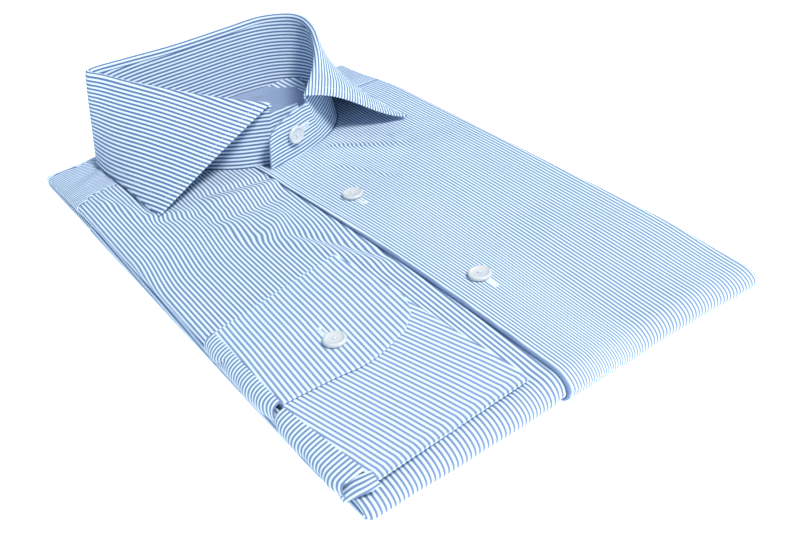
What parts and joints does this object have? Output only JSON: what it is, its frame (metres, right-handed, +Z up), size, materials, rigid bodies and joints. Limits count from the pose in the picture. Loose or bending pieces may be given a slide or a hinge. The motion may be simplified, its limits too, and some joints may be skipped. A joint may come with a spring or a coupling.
{
  "type": "folded dress shirt",
  "caption": "Folded dress shirt lying flat, fine stripes, collar standing up and buttoned, one sleeve brought round so its buttoned cuff lies across the front",
  "frame": {"origin": "centre of the bundle's footprint on the surface it lies on", "axes": "+Y towards the collar, +X towards the wearer's left, +Z up from the surface"},
  "size_m": [0.2152, 0.3492, 0.0642],
  "materials": {
    "shirt_cloth": "satin",
    "collar_cloth": "satin",
    "cuff_cloth": "satin",
    "pearl_button": "gloss"
  },
  "bodies": {
    "root": {"front_left": "shirt_cloth", "front_right": "shirt_cloth", "yoke": "shirt_cloth", "folded_layers": "shirt_cloth", "collar_band": "collar_cloth", "collar_leaf": "collar_cloth", "sleeve_right": "shirt_cloth", "cuff_right": "cuff_cloth", "button_collar": "pearl_button", "button_front_1": "pearl_button", "button_front_2": "pearl_button", "button_cuff": "pearl_button"}
  },
  "joints": []
}
